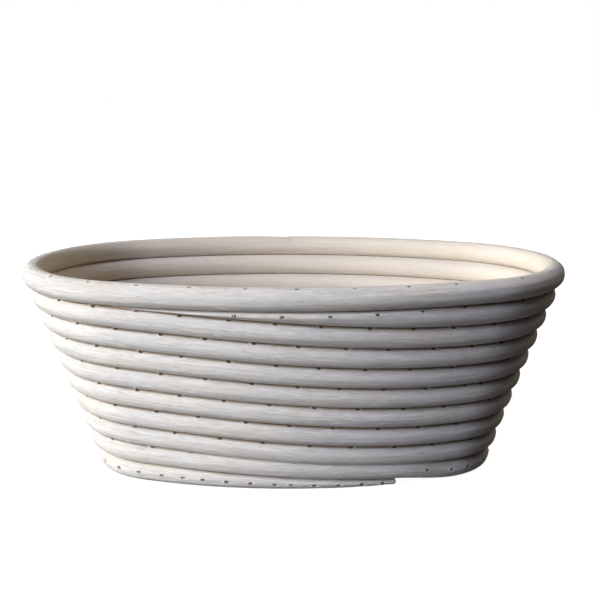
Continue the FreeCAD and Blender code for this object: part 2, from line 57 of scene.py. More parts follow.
rim_low, rim_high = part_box("rim_cane")
CANE_RADIUS = round(rim_high.z - rim_low.z, 4) / 2
HALF_LENGTH = round(rim_high.x, 4) - CANE_RADIUS
HALF_WIDTH = round(rim_high.y, 4) - CANE_RADIUS
CANE_GAP = 0.1 * MM
PITCH = 2 * CANE_RADIUS + CANE_GAP
SIDE_RADIUS = 216 * MM
SIDE_X = -4 * MM
LEAN_TOP = math.radians(21.3)
LEAN_BOTTOM = math.radians(18.2)
LOWEST = 9
LAST_LEVEL = 11
BASE_FLAT = 0.3 * MM
RAMP_LEFT = -103 * MM
RAMP_RIGHT = 87 * MM
WEDGE_TIP = -72 * MM
WEDGE_FIRST_PIN = -26 * MM
WEDGE_PIN_DEPTH = 0.3 * MM
WEDGE_SLIVER = 18 * MM
# where a shaved ramp has come clear of its neighbour
SHAVED_STOP = RAMP_RIGHT - 6 * MM
LAST_COURSE_STOP = -30 * MM
BASE_EDGE_STOP = -8 * MM
# how far along its first spacing a row's first pin lies
TURN_PIN_PHASE = 0.7
EVEN_PHASE = 0.5
WEDGE_PHASE = 0.2
FIRST_PHASE = 0.3
PHASE_STEP = 0.37
BLUNT_END_PINS = (0.0, 12 * MM, 24 * MM, 36 * MM, 47 * MM)
LAST_EDGE_PINS = (69.5 * MM, 73 * MM, 83 * MM)
BASE_TIP = -68 * MM
WALL_END = 54.5 * MM
BASE_END = 37 * MM
BOW_STOP = 0.01
TIP_HALF_WIDTH = 1 * MM
HELD_SHARE = 0.69
HELD_SLOPE = 0.005 / MM
SPLICE_PLACE = -8.5 * MM
SCARF_LENGTH = 15 * MM
SCARF_GAP = 0.15 * MM
SCARF_PLACE = 2 * MM
SHORT_PIN_LENGTH = 9 * MM
LONG_PIN_LENGTH = 15 * MM
COURSE_PIN_ANGLE = math.radians(70)
# how far past its cane, and in from the wall, a course's pin aims at the joint below
JOINT_OFFSET = 0.5 * MM
# a pin lower on its cane than this is a short one
SHORT_PIN_RISE = 1 * MM
COURSE_PIN_SPACING = 19 * MM
RIM_PIN_SPACING = 22 * MM
BASE_PIN_SPACING = 10 * MM

# how finely a centre line is sampled and a cane is meshed
LEVEL_SAMPLES = 600
RAMP_SAMPLES = 300
CORE_SAMPLES = 200
PIN_SAMPLES = 720
SAME_POINT = 0.0001 * MM
TABLE_STEP = 0.5 * MM
STATION_STEP = 2.8 * MM
ROUND_COUNT = 44

SIDE_Y = SIDE_RADIUS - HALF_WIDTH


def end_radius(reach):
    return (SIDE_RADIUS**2 - SIDE_Y**2 - reach**2) / (2 * (SIDE_RADIUS - reach))


LEFT_RADIUS = end_radius(HALF_LENGTH + SIDE_X)
RIGHT_RADIUS = end_radius(HALF_LENGTH - SIDE_X)
LEFT_X = LEFT_RADIUS - HALF_LENGTH
RIGHT_X = HALF_LENGTH - RIGHT_RADIUS
LEFT_JOINT = math.pi - math.atan2(SIDE_Y, SIDE_X - LEFT_X)
RIGHT_JOINT = math.atan2(SIDE_Y, RIGHT_X - SIDE_X)


def smoothed(mesh, sharp):
    """Smooth shading, except at edges that turn by more than this many degrees."""
    mesh.polygons.foreach_set("use_smooth", np.ones(len(mesh.polygons), bool))
    mesh.set_sharp_from_angle(angle=math.radians(sharp))


def linked(name, data):
    """A new object of the scene with this mesh, light or camera."""
    thing = bpy.data.objects.new(name, data)
    bpy.context.scene.collection.objects.link(thing)
    return thing


# ---------------------------------------------------------------- the oval and its levels


def facing(angle):
    """Level outward directions."""
    angle = np.asarray(angle, float)
    return np.stack([np.cos(angle), np.sin(angle), np.zeros_like(angle)], -1)


def oval(angle, inset, height):
    """Points of a level oval by the angle of their outward direction."""
    angle = np.asarray(angle, float)
    turned = (angle + math.pi) % TURN - math.pi
    right = np.abs(turned) <= RIGHT_JOINT
    left = np.abs(turned) >= LEFT_JOINT
    back = turned > 0
    centre_x = np.select([right, left], [RIGHT_X, LEFT_X], SIDE_X)
    centre_y = np.select([right | left, back], [0.0, -SIDE_Y], SIDE_Y)
    radius = np.select([right, left], [RIGHT_RADIUS, LEFT_RADIUS], SIDE_RADIUS) - inset
    rise = np.broadcast_to(height, angle.shape)
    return np.stack(
        [centre_x + radius * np.cos(angle), centre_y + radius * np.sin(angle), rise], -1
    )


def front_angle(x):
    """The outward angle of the rim's front at this X, from -180 degrees to 0."""
    x = np.asarray(x, float)
    left_end = SIDE_X + SIDE_RADIUS * math.cos(LEFT_JOINT)
    right_end = SIDE_X + SIDE_RADIUS * math.cos(RIGHT_JOINT)
    share = np.select(
        [x < left_end, x > right_end],
        [(x - LEFT_X) / LEFT_RADIUS, (x - RIGHT_X) / RIGHT_RADIUS],
        (x - SIDE_X) / SIDE_RADIUS,
    )
    return -np.arccos(np.clip(share, -1, 1))


def step_down(step):
    """How far one step goes inward and down."""
    if step >= LOWEST:
        return PITCH, 0.0
    lean = LEAN_TOP + step / (LOWEST - 1) * (LEAN_BOTTOM - LEAN_TOP)
    return PITCH * math.sin(lean), PITCH * math.cos(lean)


def all_levels():
    insets = [0.0]
    drops = [0.0]
    for step in range(LAST_LEVEL):
        inward, down = step_down(step)
        insets.append(insets[-1] + inward)
        drops.append(drops[-1] + down)
    lowest_height = CANE_RADIUS - BASE_FLAT
    return [(inset, lowest_height + drops[-1] - drop) for inset, drop in zip(insets, drops)]


LEVELS = all_levels()


def eased(x, first, last):
    """A smooth curve at x between two knots, each a place, a value and a slope."""
    place, value, slope = first
    last_place, last_value, last_slope = last
    width = last_place - place
    run = (x - place) / width
    rise = (last_value - value) * run * run * (3 - 2 * run)
    bend_in = slope * width * run * (1 - run) ** 2
    bend_out = last_slope * width * run * run * (run - 1)
    return value + rise + bend_in + bend_out


def ramp_share(step, x):
    """How much of the step down from this level has been made at places on the front."""
    start = (RAMP_LEFT, 0.0, 0.0)
    stop = (RAMP_RIGHT, 1.0, 0.0)
    x = np.clip(np.asarray(x, float), RAMP_LEFT, RAMP_RIGHT)
    if step != LOWEST - 1:
        return eased(x, start, stop)
    held = (WALL_END, HELD_SHARE, HELD_SLOPE)
    return np.where(x < WALL_END, eased(x, start, held), eased(x, held, stop))


def ramp_points(step, x):
    """Middle of the cane that steps down from level step, at places on the front."""
    share = ramp_share(step, x)
    inset = LEVELS[step][0] + share * (LEVELS[step + 1][0] - LEVELS[step][0])
    height = LEVELS[step][1] + share * (LEVELS[step + 1][1] - LEVELS[step][1])
    return oval(front_angle(x), inset, height)


def level_points(level, angle):
    inset, height = LEVELS[level]
    return oval(angle, inset, height)


def coil_points(level, angle):
    """Middle of the turn that starts at a level's right end and steps down on the front."""
    angle = np.asarray(angle, float)
    ramp = ramp_points(level, oval(angle, 0.0, 0.0)[..., 0])
    return np.where((angle > math.pi)[..., None], ramp, level_points(level, angle))


def down_the_wall(step, angle):
    """Unit directions from a course to the next one."""
    inward, down = step_down(step)
    return (facing(angle) * -inward - np.array([0, 0, down])) / PITCH


def off_the_wall(step, angle):
    """Unit directions square to the wall, outward."""
    inward, down = step_down(step)
    return (facing(angle) * down - np.array([0, 0, inward])) / PITCH


# ---------------------------------------------------------------- centre lines


class Line:
    """A cane's centre line as a table, with the neighbour that its shaved stretches lie against."""

    def __init__(self, runs):
        columns = [np.concatenate([run[part] for run in runs]) for part in range(5)]
        table = np.column_stack(columns)
        moved = np.linalg.norm(np.diff(table[:, 0:3], axis=0), axis=1)
        table = table[np.concatenate([[True], moved > SAME_POINT])]
        moved = np.linalg.norm(np.diff(table[:, 0:3], axis=0), axis=1)
        places = np.concatenate([[0.0], np.cumsum(moved)])
        self.length = places[-1]
        count = int(self.length / TABLE_STEP) + 1
        self.place = np.linspace(0, self.length, count)
        table = np.column_stack([np.interp(self.place, places, column) for column in table.T])
        self.centre = table[:, 0:3]
        along = np.gradient(self.centre, axis=0)
        self.along = along / np.linalg.norm(along, axis=1)[:, None]
        out = table[:, 3:6]
        out = out - (out * self.along).sum(1)[:, None] * self.along
        self.out = out / np.linalg.norm(out, axis=1)[:, None]
        self.up = np.cross(self.out, self.along)
        self.guard = table[:, 6:9]
        self.guard_way = table[:, 9:12]
        self.guarded = table[:, 12]

    def at(self, table, place):
        inside = np.clip(place, 0, self.length)
        return np.stack([np.interp(inside, self.place, column) for column in table.T], -1)

    def nearest(self, point):
        distance = np.linalg.norm(self.centre - point, axis=1)
        index = int(np.argmin(distance))
        return self.place[index], distance[index]


def run_of(points, outs, guards=None, guard_ways=None):
    """One stretch of a centre line, with or without a neighbour to keep clear of."""
    if guards is None:
        nothing = np.zeros_like(points)
        return points, outs, nothing, nothing, np.zeros(len(points))
    return points, outs, guards, guard_ways, np.ones(len(points))


def level_run(level, first, last):
    angle = np.linspace(first, last, LEVEL_SAMPLES)
    return run_of(level_points(level, angle), facing(angle))


def round_run(level):
    return level_run(level, front_angle(RAMP_RIGHT), TURN + front_angle(RAMP_LEFT))


def ramp_run(step, first, last):
    x = np.linspace(first, last, RAMP_SAMPLES)
    return run_of(ramp_points(step, x), facing(front_angle(x)))


def shaved_ramp(step, first, last):
    """A ramp that is shaved where it runs out against the level course beside it."""
    x = np.linspace(first, last, RAMP_SAMPLES)
    angle = front_angle(x)
    way = down_the_wall(step, angle)
    return run_of(ramp_points(step, x), facing(angle), level_points(step, angle), way)


def shaved_level(level, first, last):
    """A level end that is shaved under the ramp beside it."""
    x = np.linspace(first, last, RAMP_SAMPLES)
    angle = front_angle(x)
    way = down_the_wall(level - 1, angle)
    return run_of(level_points(level, angle), facing(angle), ramp_points(level - 1, x), way)


def shaved_start(step, tip):
    return [shaved_ramp(step, tip, SHAVED_STOP), ramp_run(step, SHAVED_STOP, RAMP_RIGHT)]


def whole_turns(first, last):
    """The turns that start at level first, as far as the ramp that leaves level last."""
    runs = []
    for level in range(first, last):
        runs += [round_run(level), ramp_run(level, RAMP_LEFT, RAMP_RIGHT)]
    return runs + [round_run(last)]


def wall_upper_line():
    # the tip runs on as a sliver that closes the last of the groove
    runs = shaved_start(0, WEDGE_TIP - WEDGE_SLIVER) + whole_turns(1, 2)
    return Line(runs + [ramp_run(2, RAMP_LEFT, SPLICE_PLACE)])


def wall_lower_line():
    runs = [ramp_run(2, SPLICE_PLACE, RAMP_RIGHT)] + whole_turns(3, LOWEST)
    return Line(runs + [shaved_level(LOWEST, RAMP_LEFT, WALL_END)])


def base_line():
    runs = shaved_start(LOWEST, BASE_TIP) + whole_turns(LOWEST + 1, LAST_LEVEL)
    return Line(runs + [shaved_level(LAST_LEVEL, RAMP_LEFT, BASE_END)])


def rim_line():
    """Once round from the saw cut at the back."""
    place = SCARF_PLACE + SCARF_GAP / 2
    start = -float(front_angle(place))
    return Line([level_run(0, start, start + TURN)])


INNER_INSET = LEVELS[LAST_LEVEL][0] + PITCH
INNER_HEIGHT = LEVELS[LAST_LEVEL][1]


def bow_line(side):
    """One of the two bowed canes in the middle of the base."""
    radius = SIDE_RADIUS - INNER_INSET
    half_angle = math.acos(SIDE_Y / radius) - BOW_STOP
    angle = side * math.pi / 2 + np.linspace(-half_angle, half_angle, RAMP_SAMPLES)
    middle = np.array([SIDE_X, -side * SIDE_Y, INNER_HEIGHT])
    return Line([run_of(middle + facing(angle) * radius, facing(angle))])


def core_reach():
    """Half lengths of the core cane's full stretch and of the whole cane."""
    inner_radius = SIDE_RADIUS - INNER_INSET - CANE_RADIUS - CANE_GAP
    wide = math.sqrt(inner_radius**2 - (SIDE_Y + CANE_RADIUS) ** 2)
    narrow = math.sqrt(inner_radius**2 - (SIDE_Y + TIP_HALF_WIDTH) ** 2)
    return wide, narrow


def core_line():
    narrow = core_reach()[1]
    x = SIDE_X + np.linspace(-narrow, narrow, CORE_SAMPLES)
    points = np.stack([x, np.zeros_like(x), np.full_like(x, INNER_HEIGHT)], -1)
    outs = np.tile([0.0, -1.0, 0.0], (len(x), 1))
    return Line([run_of(points, outs)])


# ---------------------------------------------------------------- pins

RIGHT_FRONT = float(front_angle(RAMP_RIGHT))


def front_after_turn(x):
    """The outward angle of a place on the front, once round from the right end."""
    return float(front_angle(x)) + TURN


FULL_TURN = front_after_turn(RAMP_RIGHT)


class Pin:
    """A wire nail: the cane's middle beside it, its head, and the way it is driven."""

    def __init__(self, middle, head_way, way, length, sunk=True):
        self.middle = np.array(middle, float)
        self.way = np.array(way, float) / np.linalg.norm(way)
        self.length = length
        self.head = self.middle + np.array(head_way, float) * CANE_RADIUS
        self.sunk = sunk


def spaced_angles(line, first, last, spacing, phase):
    """Angles at which line(angle) has run on by one more spacing."""
    angle = np.linspace(first, last, PIN_SAMPLES + 1)
    run = np.concatenate([[0], np.cumsum(np.linalg.norm(np.diff(line(angle), axis=0), axis=1))])
    angles = []
    due = spacing * phase
    for here, so_far in zip(angle[1:], run[1:]):
        if so_far >= due:
            angles.append(here)
            due += spacing
    return angles


def course_pins(level, first, last, phase):
    """Pins from a turn's upper outer side into its joint with the turn below."""
    pins = []
    places = spaced_angles(
        lambda a: coil_points(level, a), first, last, COURSE_PIN_SPACING, phase
    )
    for angle in places:
        across = off_the_wall(level, angle)
        along = down_the_wall(level, angle)
        rise = CANE_RADIUS * math.sin(COURSE_PIN_ANGLE)
        if level == 0:
            share = float(ramp_share(0, oval(angle, 0.0, 0.0)[0]))
            rise = min(rise, PITCH * share - CANE_RADIUS - WEDGE_PIN_DEPTH)
        head_way = (across * math.sqrt(CANE_RADIUS**2 - rise**2) - along * rise) / CANE_RADIUS
        joint = along * (CANE_RADIUS + JOINT_OFFSET) - across * JOINT_OFFSET
        length = LONG_PIN_LENGTH if rise > SHORT_PIN_RISE else SHORT_PIN_LENGTH
        way = joint - head_way * CANE_RADIUS
        pins.append(Pin(coil_points(level, angle), head_way, way, length))
    return pins


def level_angles(level, last, spacing, phase):
    return spaced_angles(lambda a: level_points(level, a), RIGHT_FRONT, last, spacing, phase)


def rim_pins():
    pins = []
    for angle in level_angles(0, FULL_TURN, RIM_PIN_SPACING, EVEN_PHASE):
        along = down_the_wall(0, angle)
        pins.append(Pin(level_points(0, angle), -along, along, LONG_PIN_LENGTH))
    return pins


def level_pin(level, angle, length, share=0.0, sunk=True):
    """A level pin through a turn that its upper neighbour has thinned to this share less."""
    out = facing(angle)
    rise = (1 - share) * PITCH / 2 - CANE_RADIUS
    head_way = (out * math.sqrt(CANE_RADIUS**2 - rise**2) + np.array([0, 0, rise])) / CANE_RADIUS
    return Pin(level_points(level, angle), head_way, -out, length, sunk=sunk)


def turn_pins(level, last):
    angles = level_angles(level, last, COURSE_PIN_SPACING, TURN_PIN_PHASE)
    return [level_pin(level, angle, LONG_PIN_LENGTH, sunk=False) for angle in angles]


def base_edge_pins(ramp_start, last):
    pins = []
    for angle in level_angles(LOWEST, last, BASE_PIN_SPACING, EVEN_PHASE):
        share = 0.0
        if angle > ramp_start:
            share = float(ramp_share(LOWEST - 1, level_points(0, angle)[0]))
        pins.append(level_pin(LOWEST, angle, LONG_PIN_LENGTH, share))
    # past the blunt end, where the course above has come down
    for x in LAST_EDGE_PINS:
        out = facing(front_angle(x))
        pins.append(Pin(ramp_points(LOWEST - 1, x), out, -out, LONG_PIN_LENGTH))
    return pins


def blunt_end_pins():
    pins = []
    for x in BLUNT_END_PINS:
        share = float(ramp_share(LOWEST - 1, x))
        pins.append(level_pin(LOWEST, front_angle(x), SHORT_PIN_LENGTH, share))
    return pins


def scarf_pins():
    pins = []
    up = np.array([0.0, 0.0, 1.0])
    for offset in (-SCARF_LENGTH / 4, SCARF_LENGTH / 4):
        angle = -front_angle(SCARF_PLACE + offset)
        pins.append(Pin(level_points(0, angle), up, -up, SHORT_PIN_LENGTH))
    return pins


def all_pins():
    """The pins of every CAD node, by the node's name."""
    found = {"rim_pins": rim_pins(), "scarf_pins": scarf_pins()}
    wedge_first = front_after_turn(WEDGE_FIRST_PIN)
    found["wedge_pins"] = course_pins(0, wedge_first, FULL_TURN, WEDGE_PHASE)
    for course in range(1, LOWEST):
        phase = (FIRST_PHASE + PHASE_STEP * course) % 1
        last = FULL_TURN
        if course == LOWEST - 1:
            last = front_after_turn(LAST_COURSE_STOP)
        found[f"wall_pins_course_{course}"] = course_pins(course, RIGHT_FRONT, last, phase)
    ramp_start = front_after_turn(RAMP_LEFT)
    found["base_edge_pins"] = base_edge_pins(ramp_start, front_after_turn(BASE_EDGE_STOP))
    found["blunt_end_pins"] = blunt_end_pins()
    found["base_turn_pins"] = [
        pin for level in range(LOWEST + 1, LAST_LEVEL + 1) for pin in turn_pins(level, ramp_start)
    ]
    return found


# ---------------------------------------------------------------- cane meshes

# the profile of a sunken nail hole: distance from its middle and depth under the cane's skin
HOLE_RINGS = (
    (1.50 * MM, 0.00),
    (1.18 * MM, -0.05 * MM),
    (0.96 * MM, 0.03 * MM),
    (0.82 * MM, 0.25 * MM),
    (0.74 * MM, 0.60 * MM),
)
HOLE_DEPTH = 0.62 * MM
# the cane's fibres close over a nail from both sides, more over some than over others
HOLE_SQUEEZE = (0.48, 0.80)
HOLE_ROOM = 1.7 * MM
# the skin's stretch at a hole, against a round cane's, is taken over this many samples each way
STRETCH_SPAN = 20
# and is taken to be at least this
LEAST_STRETCH = 0.3
# the stain of a cane's skin: over 0 is rust and dirt, under 0 is a raised pale fibre
RIM_OF_HOLE_STAIN = 0.15
WALL_OF_HOLE_STAIN = 0.75
FLOOR_OF_HOLE_STAIN = 0.9
CUT_END_STAIN = 0.25
FIBRE_STAIN = -0.6

# the loose fibres and the chips beside a nail: ranges that each one's sizes are drawn from
FIBRES_PER_METRE = {"rim_cane": 22}
OTHER_FIBRES_PER_METRE = 28
FIBRE_ENDS_CLEAR = (0.02, 0.98)
FIBRE_ANGLES = (-1.35, 1.35)
SHORT_FIBRE_SHARE = 0.72
SHORT_FIBRE = ((1.2, 3.0), (0.12, 0.5), (0.2, 0.42))
LONG_FIBRE = ((3.0, 6.5), (0.5, 1.8), (0.14, 0.24))
CHIP_START = (0.95, 1.15)
CHIP_SIDEWAYS = (-0.7, 0.7)
CHIP_LENGTH = (0.9, 2.2)
CHIP_LIFT = (0.1, 0.5)
CHIP_WIDTH = (0.25, 0.5)
FIBRE_STEPS = 5
FIBRE_ROOT = 0.05 * MM
FIBRE_TIP = 0.01 * MM

# a shaved tip thins by this much more over its last stretch, and its corners are worn round
TIP_TAPER = 9 * MM
TIP_LOSS = 0.2 * MM
CORNER_WEAR = 0.25
SLANT_REACH = 30 * MM
# the two wall canes are worked to one size over this much of their ends
BUTT_REACH = 40 * MM
BUTT_LOSS = 0.06 * MM
END_SUPPORT = 0.25 * MM
WORN_REACH = 26 * MM

# where a cane of the wall touches its neighbours, round its section, and how wide that is
WALL_CONTACTS = (math.radians(-110), math.radians(70))
CONTACT_WIDTH = 0.30
CONTACT_SPREAD = 0.06 * MM
# how far the edge of a sawn end is worn round, at the cane's start and at its end
END_WEAR = (0.5 * MM, 0.5 * MM)


class Cane:
    """A cane's skin: its uneven radius, its shaved stretches and its mesh."""

    def __init__(
        self,
        line,
        seed,
        contacts=WALL_CONTACTS,
        trim=None,
        slant=0.0,
        wear=END_WEAR,
        butt=None,
        worn=0.0,
    ):
        self.contacts = contacts
        self.line = line
        self.trim = trim
        self.slant = slant
        self.butt = butt
        self.worn = worn
        self.wear = wear
        self.random = random.Random(seed)
        draw = self.random.uniform
        self.waves = [
            (draw(0.05, 0.42), draw(0, TURN), weight * MM) for weight in (0.05, 0.04, 0.03)
        ]
        self.flats = [
            (count, draw(0, TURN), draw(0.06, 0.25), draw(0, TURN), weight * MM)
            for count, weight in ((3, 0.04), (5, 0.05), (7, 0.05), (9, 0.045), (12, 0.03))
        ]
        self.points = []
        self.grain = []
        self.stain = []
        self.faces = []
        self.face_kinds = []
        self.holes = []

    def radius(self, place, angle):
        """The cane's radius: under the CAD's, but a little over it where it touches a neighbour."""
        loss = np.zeros_like(place)
        place = np.asarray(place, float)
        butt = 0.0
        if self.butt is not None:
            butt = np.clip(1 - np.abs(place - self.butt * self.line.length) / BUTT_REACH, 0, 1)
        for wave, phase, depth in self.waves:
            loss = loss + depth * (1 + np.sin(TURN * place / wave + phase)) / 2
        for count, phase, wave, drift, depth in self.flats:
            turned = count * angle + phase + 1.5 * np.sin(TURN * place / wave + drift)
            loss = loss + depth * (1 + np.cos(turned)) / 2
        loss = loss * (1 - butt) + BUTT_LOSS * butt
        loss = loss + self.worn * np.clip(1 - place / WORN_REACH, 0, 1) ** 2
        spread = np.zeros_like(loss)
        for contact in self.contacts:
            off = (angle - contact + math.pi) % TURN - math.pi
            touching = np.exp(-((off / CONTACT_WIDTH) ** 2))
            loss = loss * (1 - touching)
            spread = spread + CONTACT_SPREAD * touching
        return CANE_RADIUS - loss + spread

    def skin(self, place, angle, depth):
        """Points of the cane's skin, depth under it."""
        line = self.line
        place = np.asarray(place, float)
        angle = np.asarray(angle, float)
        shifted = place
        if self.slant:
            near_start = np.clip(1 - place / SLANT_REACH, 0, 1)
            near_end = np.clip(1 - (line.length - place) / SLANT_REACH, 0, 1)
            shifted = place + self.slant * CANE_RADIUS * np.sin(angle) * (near_start + near_end)
        centre = self.at_ends(shifted)
        out = line.at(line.out, place)
        up = line.at(line.up, place)
        radius = self.radius(place, angle) - depth
        across = radius * np.cos(angle)
        rise = radius * np.sin(angle)
        if line.guarded.any():
            across, rise = self.shaved(place, angle, depth, radius, centre, out, up)
        points = centre + across[..., None] * out + rise[..., None] * up
        if self.trim is not None:
            points = self.trim(points)
        points[..., 2] = np.maximum(points[..., 2], 0.0)
        return points

    def shaved(self, place, angle, depth, radius, centre, out, up):
        """The section's points with the neighbour's side cut off flat and its corners worn."""
        line = self.line
        on = np.interp(place, line.place, line.guarded) > 0.999
        way = line.at(line.guard_way, place)
        guard = line.at(line.guard, place)
        face = CANE_RADIUS + 0.03 * MM - ((centre - guard) * way).sum(-1)
        taper = np.clip(1 - place / TIP_TAPER, 0, 1)
        face = face + TIP_LOSS * taper * taper + depth
        way_angle = np.arctan2((way * up).sum(-1), (way * out).sum(-1))
        off = (angle - way_angle + math.pi) % TURN - math.pi
        widest = np.arccos(np.clip(face / radius, -1, 0.999))
        round_share = widest / (widest + np.sin(widest))
        wear = CORNER_WEAR * (1 - round_share)
        height = 0.0
        sideways = 0.0
        for shift, weight in ((-1, 0.25), (0, 0.5), (1, 0.25)):
            run = np.abs(off) / math.pi + shift * wear
            side = np.where((run < 0) | (run > 1), -1.0, 1.0)
            run = np.where(run > 1, 2 - run, np.abs(run))
            turned = np.minimum(run / round_share, 1) * widest
            left = 1 - np.clip((run - round_share) / np.maximum(1 - round_share, 1e-6), 0, 1)
            height = height + weight * radius * np.cos(turned)
            sideways = sideways + weight * side * radius * np.sin(turned) * left
        sideways = sideways * np.sign(off)
        across = height * np.cos(way_angle) - sideways * np.sin(way_angle)
        rise = height * np.sin(way_angle) + sideways * np.cos(way_angle)
        across = np.where(on, across, radius * np.cos(angle))
        rise = np.where(on, rise, radius * np.sin(angle))
        return across, rise

    def at_ends(self, place):
        """Centre line points, run on straight past either end."""
        line = self.line
        centre = line.at(line.centre, place)
        before = np.minimum(place, 0)[..., None] * line.along[0]
        after = np.maximum(place - line.length, 0)[..., None] * line.along[-1]
        return centre + before + after

    def add_points(self, place, angle, depth, stain):
        """Adds skin points and returns their numbers."""
        place = np.atleast_1d(np.asarray(place, float))
        angle = np.broadcast_to(angle, place.shape).astype(float)
        first = len(self.points)
        self.points.extend(self.skin(place, angle, depth))
        ridge = np.stack(
            [place, CANE_RADIUS * np.cos(angle), CANE_RADIUS * np.sin(angle)], -1
        )
        self.grain.extend(ridge)
        self.stain.extend(np.broadcast_to(stain, place.shape))
        return list(range(first, len(self.points)))

    def add_face(self, corners, kind=0):
        self.faces.append(corners)
        self.face_kinds.append(kind)

    def take_pin(self, pin):
        """Remembers where a pin's hole goes, and how the skin is stretched round the cane there."""
        place = float(self.line.nearest(pin.middle)[0])
        angles = np.linspace(-math.pi, math.pi, PIN_SAMPLES + 1)
        ring = self.skin(np.full(angles.shape, place), angles, 0.0)
        index = int(np.argmin(np.linalg.norm(ring - pin.head, axis=1)))
        ahead = ring[(index + STRETCH_SPAN) % PIN_SAMPLES]
        behind = ring[(index - STRETCH_SPAN) % PIN_SAMPLES]
        span = 2 * STRETCH_SPAN * TURN / PIN_SAMPLES * CANE_RADIUS
        stretch = np.linalg.norm(ahead - behind) / span
        self.holes.append((place, float(angles[index]), max(stretch, LEAST_STRETCH)))
        pin.head = ring[index]

    def build(self, name, materials):
        line = self.line
        stations = max(4, round(line.length / STATION_STEP))
        places = np.linspace(0, line.length, stations + 1)
        angles = np.arange(ROUND_COUNT) * TURN / ROUND_COUNT
        grid = [self.add_points(np.full(ROUND_COUNT, place), angles, 0.0, 0.0) for place in places]
        spacing = places[1] - places[0]
        taken = set()
        for place, angle, stretch in self.holes:
            self.add_hole(grid, places, spacing, place, angle, stretch, taken)
        for here_row, (here, ahead) in enumerate(zip(grid, grid[1:])):
            for column in range(ROUND_COUNT):
                if (here_row, column) in taken:
                    continue
                beside = (column + 1) % ROUND_COUNT
                self.add_face([here[column], here[beside], ahead[beside], ahead[column]])
        self.add_end(grid[0], places[0], -1)
        self.add_end(grid[-1], places[-1], 1)
        return self.to_object(name, materials)

    def add_hole(self, grid, places, spacing, place, angle, stretch, taken):
        """Cuts a block out of the skin's grid and joins its edge to the rings of a nail hole."""
        column_width = TURN / ROUND_COUNT
        radius = CANE_RADIUS * stretch
        room_round = HOLE_ROOM / radius
        first_row = int(math.floor((place - HOLE_ROOM) / spacing))
        last_row = int(math.ceil((place + HOLE_ROOM) / spacing))
        if first_row < 0 or last_row > len(grid) - 1:
            return
        first_column = int(math.floor((angle - room_round) / column_width))
        last_column = int(math.ceil((angle + room_round) / column_width))
        block = {
            (row, column % ROUND_COUNT)
            for row in range(first_row, last_row)
            for column in range(first_column, last_column)
        }
        if block & taken:
            return
        taken |= block
        edge = [(first_row, column) for column in range(first_column, last_column)]
        edge += [(row, last_column) for row in range(first_row, last_row)]
        edge += [(last_row, column) for column in range(last_column, first_column, -1)]
        edge += [(row, first_column) for row in range(last_row, first_row, -1)]
        around = np.array(
            [
                math.atan2((column * column_width - angle) * radius, places[row] - place)
                for row, column in edge
            ]
        )
        ring = [grid[row][column % ROUND_COUNT] for row, column in edge]
        count = len(ring)
        squeeze = self.random.uniform(*HOLE_SQUEEZE)
        for number, (reach, depth) in enumerate(HOLE_RINGS):
            ring_places = place + reach * np.cos(around)
            narrow = 1.0 if number == 0 else squeeze
            ring_angles = angle + narrow * reach * np.sin(around) / radius
            stain = RIM_OF_HOLE_STAIN if depth <= 0 else WALL_OF_HOLE_STAIN
            inner = self.add_points(ring_places, ring_angles, depth, stain)
            for index in range(count):
                after = (index + 1) % count
                self.add_face([ring[index], ring[after], inner[after], inner[index]])
            ring = inner
        middle = self.add_points(place, angle, HOLE_DEPTH, FLOOR_OF_HOLE_STAIN)[0]
        for index in range(count):
            self.add_face([ring[index], ring[(index + 1) % count], middle])
        self.add_chips(place, angle, radius)

    def add_chips(self, place, angle, radius):
        """Pale splinters that the nail has raised beside its hole."""
        draw = self.random.uniform
        for way in (-1, 1):
            for _ in range(self.random.choice((0, 1, 2))):
                start = place + way * draw(*CHIP_START) * MM
                turned = angle + draw(*CHIP_SIDEWAYS) * MM / radius
                length = draw(*CHIP_LENGTH) * MM
                lift = draw(*CHIP_LIFT) * MM
                self.add_fibre(start, turned, length, lift, draw(*CHIP_WIDTH) * MM, way)

    def add_end(self, ring, place, side):
        """A sawn end with a worn edge: rings that draw in to the middle."""
        ring_points = np.array([self.points[index] for index in ring])
        middle = ring_points.mean(0)
        way = self.line.along[0 if side < 0 else -1] * side
        if self.slant:
            # the saw cut's face lies square to the slanted ring, so nothing stands out of it
            way = way * 0
        width = np.linalg.norm(ring_points - middle, axis=1).mean()
        wear = min(self.wear[0 if side < 0 else 1], 0.3 * width)
        shapes = [(1 - 0.3 * wear / width, 0.6 * wear), (1 - wear / width, wear)]
        shapes += [(0.66, wear), (0.33, wear)]
        back = wear
        sawn = 1
        if not self.slant:
            # one more ring keeps the worn edge's shading to the edge
            shapes.insert(0, (1.0, 0.0))
            back = wear + END_SUPPORT
            sawn = 2
        for index, point in enumerate(ring_points):
            self.points[ring[index]] = point - way * back
        count = len(ring)
        before = ring
        for kind, (scale, forward) in enumerate(shapes):
            first = len(self.points)
            self.points.extend(middle + (ring_points - middle) * scale + way * (forward - wear))
            self.grain.extend([self.grain[index] for index in ring])
            self.stain.extend([CUT_END_STAIN] * count)
            now = list(range(first, first + count))
            for index in range(count):
                after = (index + 1) % count
                corners = [before[index], before[after], now[after], now[index]]
                self.add_face(corners if side > 0 else corners[::-1], 1 if kind > sawn else 0)
            before = now
        self.points.append(middle)
        self.grain.append(np.array([place, 0, 0]))
        self.stain.append(CUT_END_STAIN)
        tip = len(self.points) - 1
        for index in range(count):
            corners = [before[index], before[(index + 1) % count], tip]
            self.add_face(corners if side > 0 else corners[::-1], 1)

